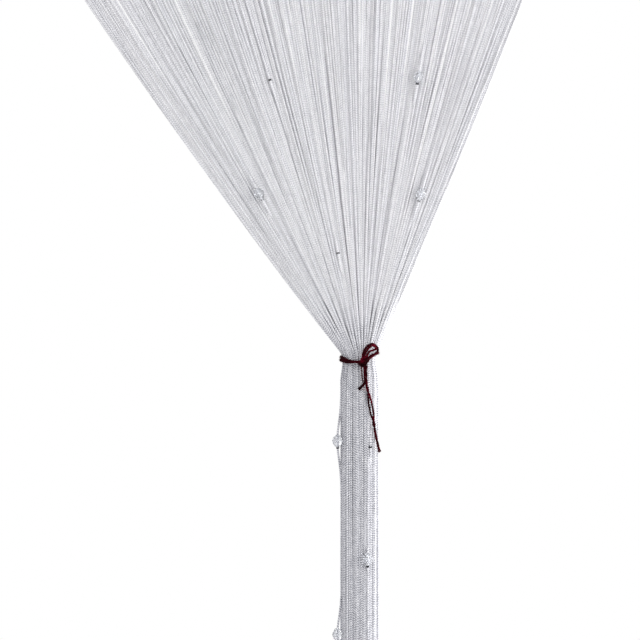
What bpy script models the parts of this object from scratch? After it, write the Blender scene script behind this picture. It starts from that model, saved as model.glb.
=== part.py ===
"""A string curtain, drawn together at half its height by a tied yarn.

Metres, +Z up. +X is to the right and -Y is towards the viewer. The origin is the middle of the heading's top edge.
"""

import math

import bmesh
import bpy
from mathutils import Vector

# The whole curtain
CURTAIN_WIDTH = 1.0
CURTAIN_DROP = 2.0
GAP = 0.0003

# The heading: a tape folded over into a rod pocket and sewn to itself below it
TAPE_THICKNESS = 0.0012
POCKET_RADIUS = 0.0125
POCKET_STEPS = 20
SEAM_BELOW_POCKET_CENTRE = 0.030
HEADING_HEIGHT = 0.075

# The fringe: strings that are knitted into one narrow strip
STRING_COUNT = 280
STRIP_HEIGHT = 0.004
STRINGS_PER_STRIP_PANEL = 14

# How the strings run. They leave the tie upright, bend out over a short way, and hang in a slight curve above it.
TIE_X = 0.130
FAN_HEIGHT = 1.031
BEND_HEIGHT = 0.008
SAG = 0.30
PINCHED_RADIUS = 0.0113
BUNDLE_RADIUS = 0.0145

# Where a string has a cross-section: its height above the tie, and its corners' distance from its middle there
STRING_LEVELS = (
    # height, corner radius
    (FAN_HEIGHT, 0.00080),
    (0.62 * FAN_HEIGHT, 0.00085),
    (0.26 * FAN_HEIGHT, 0.00080),
    (0.009, 0.00072),
    (0.001, 0.00072),
    (-0.020, 0.00090),
)
END_CORNER_RADIUS = 0.00090

# The tie: two turns of yarn round the strings, a knot in front, a bow loop and two ends
YARN_RADIUS = 0.00085
TURNS_HALF_WIDTH = 0.0143
TURNS_HALF_DEPTH = 0.0143
TURNS_HALF_HEIGHT = 0.00135
TURNS_HEIGHT_CHANGE = 0.00045
TURNS_SIDE_RISE = 0.0031
TURNS_TILT = 0.0019
TURNS_FRONT_DIP = 0.0009
TURNS_STEPS = 36
KNOT_ANGLE = math.radians(-50)
TUBE_SIDES = 8
LUMP_SUBDIVISIONS = 2

# The cross-section of the two turns side by side, as shares of the yarn's radius and of the turns' half height
TURNS_SECTION = (
    # outward, upward
    (0.0, 1.0),
    (0.8, 0.75),
    (1.0, 0.42),
    (0.78, 0.0),
    (1.0, -0.42),
    (0.8, -0.75),
    (0.0, -1.0),
    (-0.9, -0.6),
    (-1.0, 0.0),
    (-0.9, 0.6),
)

# The knot's lumps, from the middle of the strings at the tie
KNOT_LUMPS = {
    # name: (middle, half sizes)
    "lower": ((0.0027, -0.0162, -0.0027), (0.0034, 0.0022, 0.0026)),
    "upper": ((0.0020, -0.0158, 0.0002), (0.0024, 0.0020, 0.0018)),
    "side": ((0.0062, -0.0158, 0.0004), (0.0016, 0.0018, 0.0016)),
}

# The routes of the yarn's free parts, from the middle of the strings at the tie
BOW_ROUTE = (
    (0.0030, -0.0160, 0.0004),
    (0.0031, -0.0166, 0.0048),
    (0.0056, -0.0172, 0.0106),
    (0.0104, -0.0176, 0.0133),
    (0.0140, -0.0172, 0.0106),
    (0.0131, -0.0166, 0.0062),
    (0.0090, -0.0164, 0.0040),
    (0.0052, -0.0160, 0.0008),
)
SHORT_END_ROUTE = (
    (0.0026, -0.0164, -0.0040),
    (0.0024, -0.0166, -0.0090),
    (0.0028, -0.0168, -0.0150),
    (0.0034, -0.0169, -0.0186),
    (0.0018, -0.0170, -0.0206),
    (-0.0008, -0.0171, -0.0232),
)
LONG_END_ROUTE = (
    (0.0051, -0.0164, -0.0056),
    (0.0053, -0.0166, -0.0120),
    (0.0056, -0.0164, -0.0190),
    (0.0069, -0.0160, -0.0250),
    (0.0084, -0.0153, -0.0330),
    (0.0099, -0.0145, -0.0410),
    (0.0112, -0.0136, -0.0480),
    (0.0124, -0.0124, -0.0560),
    (0.0140, -0.0109, -0.0640),
    (0.0160, -0.0092, -0.0720),
)
ROUTE_STEP = 0.0040
CURVE_PIECES = 20

WHITE = (0.82, 0.83, 0.86, 1.0)
CRIMSON = (0.13, 0.008, 0.025, 1.0)

STRIP_TOP = -HEADING_HEIGHT - GAP
ROOT_Z = STRIP_TOP - STRIP_HEIGHT
TIE_Z = ROOT_Z - FAN_HEIGHT
STRING_LENGTH = CURTAIN_DROP + ROOT_Z
TIE_MIDDLE = Vector((TIE_X, 0.0, TIE_Z))


def clear_scene():
    """Remove every object, so that the script gives the same model from any start."""
    for old in list(bpy.data.objects):
        bpy.data.objects.remove(old, do_unlink=True)


def material(name, colour, roughness):
    """A plain surface of one colour."""
    made = bpy.data.materials.new(name)
    made.use_nodes = True
    shader = made.node_tree.nodes["Principled BSDF"]
    shader.inputs["Base Color"].default_value = colour
    shader.inputs["Roughness"].default_value = roughness
    shader.inputs["Metallic"].default_value = 0.0
    return made


def add_object(name, data, surface):
    """Put a mesh or a curve in the scene with its material."""
    data.materials.append(surface)
    made = bpy.data.objects.new(name, data)
    bpy.context.scene.collection.objects.link(made)
    return made


def mesh_from(bm, name):
    """Turn a finished bmesh into a mesh whose faces point outwards."""
    bmesh.ops.recalc_face_normals(bm, faces=bm.faces)
    mesh = bpy.data.meshes.new(name)
    bm.to_mesh(mesh)
    bm.free()
    return mesh


def join_rings(bm, first, second):
    """Faces between two rings of points that correspond one to one."""
    for i in range(len(first)):
        j = (i + 1) % len(first)
        bm.faces.new((first[i], first[j], second[j], second[i]))


def smooth_route(route, step):
    """Points about one step apart on a smooth curve through the route's own points."""
    points = [Vector(p) for p in route]
    ends = [2 * points[0] - points[1], *points, 2 * points[-1] - points[-2]]
    fine = []
    for before, start, stop, after in zip(ends, ends[1:], ends[2:], ends[3:]):
        for k in range(CURVE_PIECES):
            t = k / CURVE_PIECES
            pull = (stop - before) * t + (2 * before - 5 * start + 4 * stop - after) * t**2
            turn = (3 * start - before - 3 * stop + after) * t**3
            fine.append(start + 0.5 * (pull + turn))
    fine.append(points[-1])
    lengths = [0.0]
    for here, there in zip(fine, fine[1:]):
        lengths.append(lengths[-1] + (there - here).length)
    count = max(3, round(lengths[-1] / step))
    spaced = []
    for k in range(count + 1):
        wanted = lengths[-1] * k / count
        i = min(max(j for j, length in enumerate(lengths) if length <= wanted), len(fine) - 2)
        share = (wanted - lengths[i]) / max(lengths[i + 1] - lengths[i], 1e-9)
        spaced.append(fine[i].lerp(fine[i + 1], share))
    return spaced


def pocket_loops():
    """The heading's outer and inner outline round the rod pocket, as (y, z) pairs that correspond one to one.

    Both start and end at the seam, where the front and the back of the tape meet.
    """
    half_angle = math.asin(POCKET_RADIUS / SEAM_BELOW_POCKET_CENTRE)
    centre_z = -TAPE_THICKNESS - POCKET_RADIUS
    start = -half_angle
    stop = math.pi + half_angle
    outer = []
    inner = []
    for i in range(POCKET_STEPS + 1):
        angle = start + (stop - start) * i / POCKET_STEPS
        for loop, radius in ((outer, POCKET_RADIUS + TAPE_THICKNESS), (inner, POCKET_RADIUS)):
            loop.append((radius * math.cos(angle), centre_z + radius * math.sin(angle)))
    return outer, inner, centre_z - SEAM_BELOW_POCKET_CENTRE


def build_heading(surface):
    """The woven tape: an open rod pocket along the top, and two layers sewn together below it."""
    outer, inner, seam_z = pocket_loops()
    bm = bmesh.new()
    ends = []
    for x in (-CURTAIN_WIDTH / 2, CURTAIN_WIDTH / 2):
        end = {
            "outer": [bm.verts.new((x, y, z)) for y, z in outer],
            "inner": [bm.verts.new((x, y, z)) for y, z in inner],
            "seam": bm.verts.new((x, 0.0, seam_z)),
            "back": [bm.verts.new((x, TAPE_THICKNESS, z)) for z in (seam_z, -HEADING_HEIGHT)],
            "front": [bm.verts.new((x, -TAPE_THICKNESS, z)) for z in (seam_z, -HEADING_HEIGHT)],
        }
        ends.append(end)
        for i in range(POCKET_STEPS):
            bm.faces.new((end["outer"][i], end["outer"][i + 1], end["inner"][i + 1], end["inner"][i]))
        bm.faces.new((end["outer"][0], end["inner"][0], end["seam"], end["back"][0]))
        bm.faces.new((end["outer"][-1], end["inner"][-1], end["seam"], end["front"][0]))
        bm.faces.new((end["back"][0], end["seam"], end["front"][0], end["front"][1], end["back"][1]))
    walls = []
    for end in ends:
        outside = [*reversed(end["back"]), *end["outer"], *end["front"]]
        walls.append((outside, [end["seam"], *end["inner"]]))
    join_rings(bm, walls[0][0], walls[1][0])
    join_rings(bm, walls[0][1], walls[1][1])
    return add_object("heading_band", mesh_from(bm, "heading_band"), surface)


def spread(height):
    """How far a string has come at a height above the tie: 0 in the bundle and 1 at the heading."""
    if height <= 0:
        return 0.0
    bent = height**2 / (2 * BEND_HEIGHT) if height < BEND_HEIGHT else height - BEND_HEIGHT / 2
    share = bent / (FAN_HEIGHT - BEND_HEIGHT / 2)
    return (1 + SAG) * share - SAG * share**2


def bundle_spots():
    """Places in a close-packed round bundle of radius 1, column by column from the left, each front to back."""
    pitch = math.sqrt(math.pi / (STRING_COUNT * math.sqrt(0.75)))
    reach = math.ceil(1.3 / pitch)
    spots = []
    for column in range(-reach, reach + 1):
        for row in range(-reach, reach + 1):
            spots.append((column * pitch * math.sqrt(0.75), (row + 0.5 * (column % 2)) * pitch))
    spots.sort(key=lambda spot: (round(spot[0] ** 2 + spot[1] ** 2, 9), spot))
    kept = spots[:STRING_COUNT]
    largest = math.hypot(*kept[-1])
    return sorted((x / largest, y / largest) for x, y in kept)


def string_middle(root_x, spot, height):
    """The middle of a string at a height above the tie, or below it where the height is negative."""
    share = spread(height)
    radius = PINCHED_RADIUS if height > 0 else BUNDLE_RADIUS
    x = TIE_X + (root_x - TIE_X) * share + spot[0] * radius * (1 - share)
    y = spot[1] * radius * (1 - share)
    return Vector((x, y, TIE_Z + height))


def triangle(middle, corner_radius):
    """The corners of a string's cross-section: two in front and one behind."""
    half = corner_radius * math.sqrt(0.75)
    return [
        middle + Vector((-half, -corner_radius / 2, 0.0)),
        middle + Vector((half, -corner_radius / 2, 0.0)),
        middle + Vector((0.0, corner_radius, 0.0)),
    ]


def add_string(bm, root_x, spot):
    """One string from its root to its cut end. Returns the corners of its root."""
    middles = [string_middle(root_x, spot, height) for height, _ in STRING_LEVELS]
    used = sum((b - a).length for a, b in zip(middles, middles[1:]))
    end = middles[-1] - Vector((0.0, 0.0, STRING_LENGTH - used))
    sections = [triangle(m, level[1]) for m, level in zip(middles, STRING_LEVELS)]
    sections.append(triangle(end, END_CORNER_RADIUS))
    rings = [[bm.verts.new(corner) for corner in section] for section in sections]
    for upper, lower in zip(rings, rings[1:]):
        join_rings(bm, upper, lower)
    bm.faces.new(rings[-1])
    return rings[0]


def add_strip(bm, roots):
    """The narrow strip over the strings' roots, whose underside is closed between them."""
    front_y = roots[0][0].co.y
    back_y = roots[0][2].co.y
    half = CURTAIN_WIDTH / 2
    low = [[bm.verts.new((x, y, ROOT_Z)) for y in (front_y, back_y)] for x in (-half, half)]
    high = []
    panels = range(0, STRING_COUNT, STRINGS_PER_STRIP_PANEL)
    for first in (*panels, STRING_COUNT):
        x = -half + CURTAIN_WIDTH * first / STRING_COUNT
        high.append([bm.verts.new((x, y, STRIP_TOP)) for y in (front_y, back_y)])
    left_front, left_back = low[0]
    for left, right, back in roots:
        bm.faces.new((left_front, left, back, left_back))
        left_front, left_back = right, back
    bm.faces.new((left_front, *low[1], left_back))
    front_line = [low[0][0], *(corner for root in roots for corner in root[:2]), low[1][0]]
    back_line = [low[0][1], *(root[2] for root in roots), low[1][1]]
    for panel, (start, stop) in enumerate(zip(high, high[1:])):
        first = panel * STRINGS_PER_STRIP_PANEL
        last = first + STRINGS_PER_STRIP_PANEL
        final = last == STRING_COUNT
        front_part = front_line[2 * first : 2 * last + 1 + final]
        back_part = back_line[first : last + 1 + final]
        bm.faces.new((*front_part, stop[0], start[0]))
        bm.faces.new((*back_part, stop[1], start[1]))
        bm.faces.new((start[0], stop[0], stop[1], start[1]))
    bm.faces.new((low[0][0], low[0][1], high[0][1], high[0][0]))
    bm.faces.new((low[1][0], low[1][1], high[-1][1], high[-1][0]))


def build_fringe(surface):
    """All the strings and the strip that they hang from, as one body."""
    bm = bmesh.new()
    pitch = CURTAIN_WIDTH / STRING_COUNT
    roots = []
    for number, spot in enumerate(bundle_spots()):
        roots.append(add_string(bm, -CURTAIN_WIDTH / 2 + (number + 0.5) * pitch, spot))
    add_strip(bm, roots)
    return add_object("string_fringe", mesh_from(bm, "string_fringe"), surface)


def turns_mesh():
    """The two turns of yarn round the strings, side by side, with a groove between them."""
    bm = bmesh.new()
    rings = []
    for i in range(TURNS_STEPS):
        angle = 2 * math.pi * i / TURNS_STEPS
        across = math.cos(angle)
        deep = math.sin(angle)
        half_height = TURNS_HALF_HEIGHT - TURNS_HEIGHT_CHANGE * math.cos(angle - KNOT_ANGLE)
        rise = TURNS_SIDE_RISE * across**2 + TURNS_TILT * across - TURNS_FRONT_DIP * deep**2
        ring = []
        for outward, upward in TURNS_SECTION:
            x = (TURNS_HALF_WIDTH + YARN_RADIUS * outward) * across
            y = (TURNS_HALF_DEPTH + YARN_RADIUS * outward) * deep
            ring.append(bm.verts.new(TIE_MIDDLE + Vector((x, y, rise + half_height * upward))))
        rings.append(ring)
    for i, ring in enumerate(rings):
        join_rings(bm, ring, rings[(i + 1) % TURNS_STEPS])
    return mesh_from(bm, "tie_yarn")


def lump_mesh(name, middle, half_sizes):
    """A rounded lump of the knot."""
    bm = bmesh.new()
    bmesh.ops.create_icosphere(bm, subdivisions=LUMP_SUBDIVISIONS, radius=1.0)
    for corner in bm.verts:
        stretched = Vector(c * half for c, half in zip(corner.co, half_sizes))
        corner.co = TIE_MIDDLE + Vector(middle) + stretched
    return mesh_from(bm, name)


def tube_mesh(name, route):
    """A length of yarn along a route, with flat ends."""
    points = smooth_route([TIE_MIDDLE + Vector(p) for p in route], 2 * YARN_RADIUS)
    bm = bmesh.new()
    rings = []
    side = Vector((0.0, 1.0, 0.0))
    for i, point in enumerate(points):
        ahead = (points[min(i + 1, len(points) - 1)] - points[max(i - 1, 0)]).normalized()
        side = (side - ahead * side.dot(ahead)).normalized()
        other = ahead.cross(side)
        ring = []
        for k in range(TUBE_SIDES):
            angle = 2 * math.pi * k / TUBE_SIDES
            out = side * math.cos(angle) + other * math.sin(angle)
            ring.append(bm.verts.new(point + YARN_RADIUS * out))
        rings.append(ring)
    for first, second in zip(rings, rings[1:]):
        join_rings(bm, first, second)
    bm.faces.new(rings[0])
    bm.faces.new(rings[-1])
    return mesh_from(bm, name)


def fuse(body, shape, surface):
    """Join a hidden shape to a body with a Boolean modifier."""
    guide = add_object("guide_" + shape.name, shape, surface)
    guide.hide_render = True
    guide.display_type = "WIRE"
    joined = body.modifiers.new("join_" + shape.name, "BOOLEAN")
    joined.operation = "UNION"
    joined.object = guide


def build_tie(surface):
    """The turns of yarn, the knot, the bow loop and the short end, which are one length of yarn."""
    body = add_object("tie_yarn", turns_mesh(), surface)
    for name, (middle, half_sizes) in KNOT_LUMPS.items():
        fuse(body, lump_mesh("knot_" + name, middle, half_sizes), surface)
    fuse(body, tube_mesh("bow_loop", BOW_ROUTE), surface)
    fuse(body, tube_mesh("short_end", SHORT_END_ROUTE), surface)
    return body


def build_long_end(surface):
    """The yarn's long end, which hangs down the front of the bundle."""
    curve = bpy.data.curves.new("tie_long_end", "CURVE")
    curve.dimensions = "3D"
    curve.bevel_depth = YARN_RADIUS
    curve.bevel_resolution = 2
    curve.use_fill_caps = True
    points = smooth_route([TIE_MIDDLE + Vector(p) for p in LONG_END_ROUTE], ROUTE_STEP)
    line = curve.splines.new("POLY")
    line.points.add(len(points) - 1)
    for slot, point in zip(line.points, points):
        slot.co = (*point, 1.0)
    return add_object("tie_long_end", curve, surface)


def main():
    """Build the curtain."""
    clear_scene()
    cotton = material("white_tape", WHITE, 0.85)
    braid = material("white_string", WHITE, 0.6)
    yarn = material("crimson_yarn", CRIMSON, 0.9)
    build_heading(cotton)
    build_fringe(braid)
    build_tie(yarn)
    build_long_end(yarn)


main()
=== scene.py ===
"""The looks of a white string curtain that a tied crimson yarn draws together at half its height.

Metres, +Z up, in the frame's own axes: +X is to the right and -Y is towards the viewer. The origin is the
middle of the heading's top edge. The routes of the strings and of the yarn repeat the ones that the solids
were made from.
"""

import logging
import math
import random
from bisect import bisect_left
from collections.abc import Iterable, Sequence
from dataclasses import dataclass, field
from enum import Enum

import bmesh
import bpy
from mathutils import Matrix, Vector


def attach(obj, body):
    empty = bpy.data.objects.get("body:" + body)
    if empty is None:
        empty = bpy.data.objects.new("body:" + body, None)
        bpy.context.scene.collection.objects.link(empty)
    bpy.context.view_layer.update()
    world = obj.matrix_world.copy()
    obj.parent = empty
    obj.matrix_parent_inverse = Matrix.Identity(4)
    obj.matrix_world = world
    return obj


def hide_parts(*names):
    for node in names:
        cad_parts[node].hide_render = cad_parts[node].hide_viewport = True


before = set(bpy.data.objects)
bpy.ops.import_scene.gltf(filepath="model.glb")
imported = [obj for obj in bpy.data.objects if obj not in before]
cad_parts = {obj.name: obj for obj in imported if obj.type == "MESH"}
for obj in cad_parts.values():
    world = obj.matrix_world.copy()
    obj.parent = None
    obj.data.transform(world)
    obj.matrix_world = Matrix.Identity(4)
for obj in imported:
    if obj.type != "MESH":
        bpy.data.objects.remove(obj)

log = logging.getLogger("curtain")

Piece = bpy.types.Object
Pair = tuple[float, float]
Point = tuple[float, float, float]
Colour = tuple[float, float, float, float]
Inputs = dict[str | int, object]
Numbers = Sequence[float] | float


class Part(Enum):
    """The record's material slots."""

    TAPE = "tape"
    STRING = "string"
    YARN = "yarn"
    BEAD = "bead"
    CRIMP = "crimp"


class Wire:
    """A number on a node's socket, which takes part in sums as a plain number does."""

    def __init__(self, sketch: "Sketch", socket: bpy.types.NodeSocket) -> None:
        """Wrap a socket of a sketch's tree."""
        self.sketch = sketch
        self.socket = socket

    def __add__(self, other: "Wire | float") -> "Wire":
        """self + other."""
        return self.sketch.maths("ADD", self, other)

    def __radd__(self, other: float) -> "Wire":
        """other + self."""
        return self.sketch.maths("ADD", other, self)

    def __sub__(self, other: "Wire | float") -> "Wire":
        """self - other."""
        return self.sketch.maths("SUBTRACT", self, other)

    def __rsub__(self, other: float) -> "Wire":
        """other - self."""
        return self.sketch.maths("SUBTRACT", other, self)

    def __mul__(self, other: "Wire | float") -> "Wire":
        """self * other."""
        return self.sketch.maths("MULTIPLY", self, other)

    def __truediv__(self, other: "Wire | float") -> "Wire":
        """self / other."""
        return self.sketch.maths("DIVIDE", self, other)


class Sketch:
    """Adds nodes to one tree and wires them as it goes."""

    def __init__(self, tree: bpy.types.NodeTree) -> None:
        """Work in a tree of shader or geometry nodes."""
        self.tree = tree

    @staticmethod
    def _find(sockets: Iterable[bpy.types.NodeSocket], key: str | int) -> bpy.types.NodeSocket:
        """The socket with that identifier, name or place."""
        for socket in sockets:
            if socket.identifier == key:
                return socket
        return sockets[key]

    def feed(self, socket: bpy.types.NodeSocket, value: object) -> None:
        """Link a socket or a wire to this socket, or set a plain value on it.

        Args:
            socket: The input that is fed.
            value: A Wire, a node's output socket, or a value of the socket's own type.
        """
        if isinstance(value, Wire):
            value = value.socket
        if isinstance(value, bpy.types.NodeSocket):
            self.tree.links.new(value, socket)
        else:
            socket.default_value = value

    def node(self, kind: str, inputs: Inputs | None = None, **settings: object) -> bpy.types.Node:
        """Add a node.

        Args:
            kind: The node's type.
            inputs: The values or links of its sockets.
            settings: The node's own settings, which are set first.

        Returns:
            The node.
        """
        made = self.tree.nodes.new(kind)
        for name, value in settings.items():
            setattr(made, name, value)
        for key, value in (inputs or {}).items():
            self.feed(self._find(made.inputs, key), value)
        return made

    def out(self, made: bpy.types.Node, key: str | int = 0) -> Wire:
        """A node's output as a wire."""
        return Wire(self, self._find(made.outputs, key))

    def wire(self, kind: str, inputs: Inputs | None = None, key: str | int = 0, **settings: object) -> Wire:
        """Add a node, and give its first output or the one that the key names."""
        return self.out(self.node(kind, inputs, **settings), key)

    def maths(self, operation: str, first: "Wire | float", second: "Wire | float" = 0.0) -> Wire:
        """The result of a Math node."""
        return self.wire("ShaderNodeMath", {0: first, 1: second}, operation=operation)

    def clamp(self, value: Wire, low: float, high: float) -> Wire:
        """A number kept between two others."""
        return self.maths("MINIMUM", self.maths("MAXIMUM", value, low), high)

    def vector(self, operation: str, first: Wire, second: object = (0.0, 0.0, 0.0)) -> Wire:
        """The vector result of a Vector Math node."""
        return self.wire("ShaderNodeVectorMath", {0: first, 1: second}, "Vector", operation=operation)

    def scaled(self, vector: Wire, scale: Wire) -> Wire:
        """A vector times a number."""
        return self.wire("ShaderNodeVectorMath", {0: vector, 3: scale}, "Vector", operation="SCALE")

    def split(self, vector: Wire) -> tuple[Wire, Wire, Wire]:
        """The X, Y and Z of a vector."""
        parts = self.node("ShaderNodeSeparateXYZ", {0: vector})
        return self.out(parts, "X"), self.out(parts, "Y"), self.out(parts, "Z")

    def blend(self, share: Wire, first: Wire | Colour, second: Wire | Colour) -> Wire:
        """Two colours mixed by a share from 0 to 1."""
        inputs = {"Factor_Float": share, "A_Color": first, "B_Color": second}
        return self.wire("ShaderNodeMix", inputs, "Result_Color", data_type="RGBA")

    def attribute(self, name: str, key: str = "Fac") -> Wire:
        """A number or vector that a mesh carries, for a shader."""
        return self.wire("ShaderNodeAttribute", {}, key, attribute_type="GEOMETRY", attribute_name=name)

    def place(self, kind: str = "Object") -> Wire:
        """The shaded point in the object's own coordinates, or in its UV map."""
        return self.wire("ShaderNodeTexCoord", {}, kind)

    def angle(self) -> Wire:
        """The angle round a cord or a ply, from the place round its section that its mesh carries."""
        x, y, _ = self.split(self.attribute("around", "Vector"))
        return self.maths("ARCTAN2", y, x)

    def wave(self, phase: Wire) -> Wire:
        """A wave from 0 to 1 over a phase in radians."""
        return self.maths("SINE", phase) * 0.5 + 0.5

    def noise(self, scale: float, detail: float = 2.0, vector: Wire | None = None) -> Wire:
        """Noise from 0 to 1 over the object's own coordinates, or over another vector."""
        inputs = {"Vector": vector or self.place(), "Scale": scale, "Detail": detail}
        return self.wire("ShaderNodeTexNoise", inputs)


class Finish:
    """A surface: each kind says how its nodes are wired."""

    name = "finish"

    def material(self) -> bpy.types.Material:
        """The material, made once and then reused."""
        known = bpy.data.materials.get(self.name)
        if known is not None:
            return known
        made = bpy.data.materials.new(self.name)
        made.use_nodes = True
        sketch = Sketch(made.node_tree)
        self.paint(sketch, made.node_tree.nodes["Principled BSDF"])
        return made

    def paint(self, sketch: Sketch, shader: bpy.types.Node) -> None:
        """Wire the shader's sockets."""
        raise NotImplementedError

    @staticmethod
    def cover(sketch: Sketch, shader: bpy.types.Node, colour: Wire, rough: object, **plain: object) -> None:
        """Feed the colour and the roughness, and set the sockets that are the same all over.

        Args:
            sketch: The material's sketch.
            shader: Its shader.
            colour: The base colour.
            rough: The roughness, as a number or a wire.
            plain: The value of each other socket, named with _ for a blank.
        """
        sketch.feed(shader.inputs["Base Color"], colour)
        sketch.feed(shader.inputs["Roughness"], rough)
        for name, value in plain.items():
            shader.inputs[name.replace("_", " ")].default_value = value

    @staticmethod
    def relief(sketch: Sketch, shader: bpy.types.Node, height: Wire, depth: float, strength: float) -> None:
        """Feed a height from 0 to 1 through a Bump node that stands for a depth in metres."""
        inputs = {"Strength": strength, "Distance": depth, "Height": height}
        sketch.feed(shader.inputs["Normal"], sketch.wire("ShaderNodeBump", inputs))


@dataclass(frozen=True)
class KnittedString(Finish):
    """White knitted cord: slanted stitches in a row, with painted shade in the grooves between them that is
    deeper in the bundle than in the fan.
    """

    name: str = "knitted_string"
    stitch: float = 0.0019
    spread: float = 0.12
    drift: float = 6.0
    slant: float = 4.4
    relief_depth: float = 0.00030
    # how strongly the painted shade in the stitch grooves shows in the fan and in the bundle, and how much
    # less it shows in the plain bands
    fan_contrast: float = 0.50
    bundle_contrast: float = 1.06
    band_calm: float = 0.86
    light: Colour = (0.935, 0.933, 0.965, 1.0)
    shade: Colour = (0.34, 0.345, 0.385, 1.0)
    warm: Colour = (0.97, 0.961, 0.975, 1.0)

    def _stitches(self, sketch: Sketch, own: Wire) -> Wire:
        """1 on a stitch and 0 in the groove beside it: each stitch is a V round the string.

        Args:
            sketch: The material's sketch.
            own: A place in noise that no other string has.

        Returns:
            The stitches' height.
        """
        start = sketch.attribute("start")
        pitch = (1 - self.spread / 2) + sketch.attribute("tone") * self.spread
        turns = sketch.attribute("along") * (math.tau / self.stitch) * pitch + start
        folded = sketch.maths("PINGPONG", (sketch.angle() + start) * (1.0 / math.pi), 1.0)
        legs = sketch.wave(turns + sketch.noise(60.0, 2.0, own) * self.drift + folded * self.slant)
        valley = sketch.maths("POWER", sketch.maths("ABSOLUTE", folded * 2.0 - 1.0), 6.0)
        return sketch.maths("POWER", legs, 0.6) * (1.0 - valley * 0.5)

    def paint(self, sketch: Sketch, shader: bpy.types.Node) -> None:
        """Each string has a tone and unevenness of its own, and bands of the bundle show fewer stitches and
        get painted shade.
        """
        tone = sketch.attribute("tone")
        slack = sketch.attribute("slack")
        inputs = {"X": tone * 3.0, "Y": sketch.attribute("start"), "Z": sketch.attribute("along")}
        own = sketch.wire("ShaderNodeCombineXYZ", inputs)
        stitches = self._stitches(sketch, own)
        uneven = sketch.noise(190.0, 2.0, own) * 2.0 - 0.15
        band = sketch.noise(230.0, 1.0, sketch.vector("MULTIPLY", sketch.place(), (1.0, 1.0, 0.05)))
        plain = sketch.clamp((band - 0.4) * 5.0, 0.0, 1.0)
        # painted shade in the bundle: strings of a higher tone and the plain bands are made darker
        shadow = slack * (sketch.maths("POWER", tone, 2.0) * 0.24 + plain * 0.24 - 0.07)
        # painted shade in the grooves between stitches, stronger in the bundle than in the fan
        seen = slack * (self.bundle_contrast - plain * self.band_calm) + self.fan_contrast
        groove = (1.0 - stitches) * uneven * seen + shadow
        colour = sketch.blend(groove, sketch.blend(tone, self.light, self.warm), self.shade)
        plain_sockets = {
            "Sheen_Weight": 0.25,
            "Sheen_Roughness": 0.4,
            "Subsurface_Weight": 0.35,
            "Subsurface_Radius": (1.0, 1.0, 1.0),
            "Subsurface_Scale": 0.0012,
        }
        self.cover(sketch, shader, colour, groove * 0.2 + 0.62, **plain_sockets)
        self.relief(sketch, shader, stitches, self.relief_depth, 1.0)


@dataclass(frozen=True)
class WovenTape(Finish):
    """White woven tape: narrow ribs with a small chevron across them, and painted shade in the grooves
    between them.
    """

    name: str = "woven_tape"
    rib: float = 0.0013
    pick: float = 0.0009
    rib_share: float = 0.55
    light: Colour = (0.92, 0.92, 0.93, 1.0)
    shade: Colour = (0.64, 0.65, 0.675, 1.0)

    def paint(self, sketch: Sketch, shader: bpy.types.Node) -> None:
        """The weave follows the tape's own UV map, whose units are metres."""
        x, y, _ = sketch.split(sketch.place("UV"))
        across = x * (math.tau / self.rib)
        lean = sketch.maths("PINGPONG", across * (1.0 / math.tau), 1.0) * math.tau
        picks = sketch.wave(y * (math.tau / self.pick) + lean)
        weave = sketch.wave(across) * self.rib_share + picks * (1 - self.rib_share)
        uneven = sketch.noise(45.0, 4.0)
        # painted shade in the grooves between the ribs and the picks
        groove = (1.0 - weave) * (uneven * 0.5 + 0.55)
        colour = sketch.blend(groove, self.light, self.shade)
        self.cover(sketch, shader, colour, uneven * 0.15 + 0.75, Sheen_Weight=0.2)
        self.relief(sketch, shader, weave, 0.00025, 0.7)


@dataclass(frozen=True)
class SewingThread(Finish):
    """White sewing thread with a fine twist."""

    name: str = "sewing_thread"
    turn: float = 0.0005
    light: Colour = (0.92, 0.92, 0.93, 1.0)
    shade: Colour = (0.58, 0.59, 0.62, 1.0)

    def paint(self, sketch: Sketch, shader: bpy.types.Node) -> None:
        """Bands of twist across each stitch."""
        x, _, z = sketch.split(sketch.place())
        twist = sketch.wave((x + z) * (math.tau / self.turn))
        # painted shade between the turns of the twist
        self.cover(sketch, shader, sketch.blend(1.0 - twist, self.light, self.shade), twist * 0.15 + 0.5)
        self.relief(sketch, shader, twist, 0.00008, 0.6)


@dataclass(frozen=True)
class CrimsonYarn(Finish):
    """Dark crimson yarn: fibres that follow each ply, with painted shade in its grooves and on its shaded
    parts, and painted highlights in places.
    """

    name: str = "crimson_yarn"
    turn: float = 0.0011
    # deep is the painted shade colour, body the yarn's own crimson, and lit the painted highlight colour
    deep: Colour = (0.004, 0.0001, 0.0005, 1.0)
    body: Colour = (0.075, 0.0003, 0.0050, 1.0)
    lit: Colour = (0.20, 0.002, 0.018, 1.0)

    def paint(self, sketch: Sketch, shader: bpy.types.Node) -> None:
        """Fine fibres slant round each ply, and the mesh carries how much painted light each part gets, from
        painted shade at 0 to full colour at 1.
        """
        fibres = sketch.wave(sketch.attribute("along") * (math.tau / self.turn) + sketch.angle() * 3.0)
        mottled = sketch.noise(700.0, 3.0)
        patches = sketch.noise(160.0, 2.0)
        worn = sketch.attribute("worn")
        # painted shade: the colour falls to deep between the fibres and where the mesh gives little painted
        # light; the mottling is the yarn's own uneven colour
        colour = sketch.blend((fibres * 0.6 + mottled * 0.5) * worn, self.deep, self.body)
        # painted highlights: patches of the lit colour where the mesh gives painted light
        painted_highlight = sketch.clamp((patches - 0.50) * 4.0, 0.0, 0.8) * worn
        colour = sketch.blend(painted_highlight, colour, self.lit)
        self.cover(sketch, shader, colour, mottled * 0.2 + 0.7, Specular_IOR_Level=0.06)
        self.relief(sketch, shader, fibres * 0.6 + mottled * 0.4, 0.00012, 0.9)


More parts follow.
